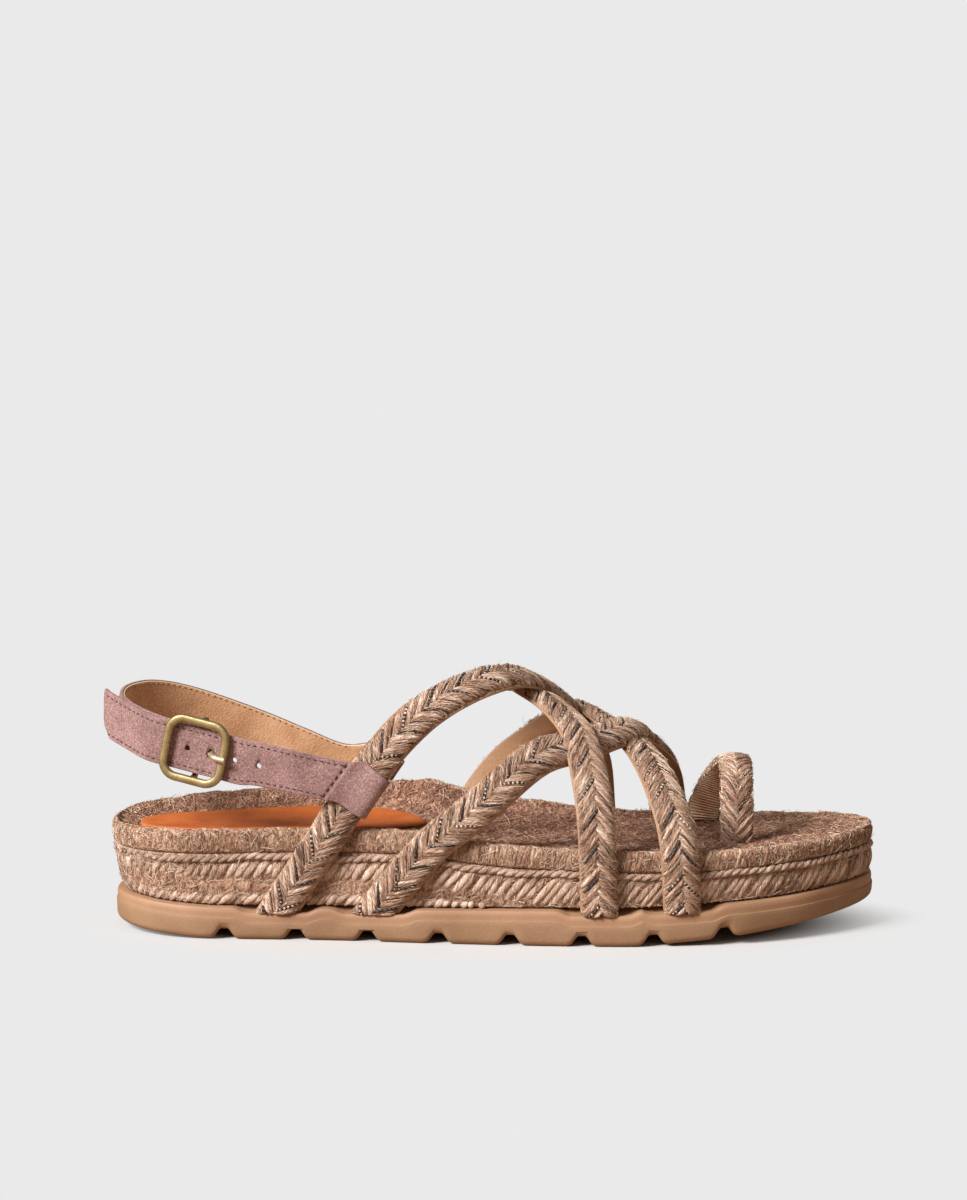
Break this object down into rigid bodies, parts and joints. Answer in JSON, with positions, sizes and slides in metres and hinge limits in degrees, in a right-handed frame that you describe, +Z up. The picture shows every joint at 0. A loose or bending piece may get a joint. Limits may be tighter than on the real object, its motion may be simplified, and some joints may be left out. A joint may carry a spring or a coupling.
{
  "type": "flat sandal",
  "caption": "Right-foot flat sandal with a rope platform over a grooved rubber sole, crossed braided straps, a toe loop and a buckled suede heel strap",
  "frame": {"origin": "On the floor under the middle of the shoe's box, with the tread at z = 0", "axes": "+X from heel to toe, +Y from the outer to the inner side of the right foot, +Z up"},
  "size_m": [0.2588, 0.0946, 0.0892],
  "materials": {
    "rubber": "matt caramel rubber with a fine grain",
    "jute": "natural twisted plant fibre with dark flecked threads",
    "footbed_jute": "darker worn plant fibre",
    "sock_leather": "smooth cognac leather",
    "suede": "dusty mauve suede lined with tan leather",
    "brass": "antique brass"
  },
  "bodies": {
    "root": {"outsole": "rubber", "jute_platform": "jute", "jute_footbed": "footbed_jute", "heel_sock": "sock_leather", "upper": "jute", "toe_loop": "jute", "buckle_strap": "suede", "heel_strap": "suede", "buckle_frame": "brass", "buckle_prong": "brass"}
  },
  "joints": []
}
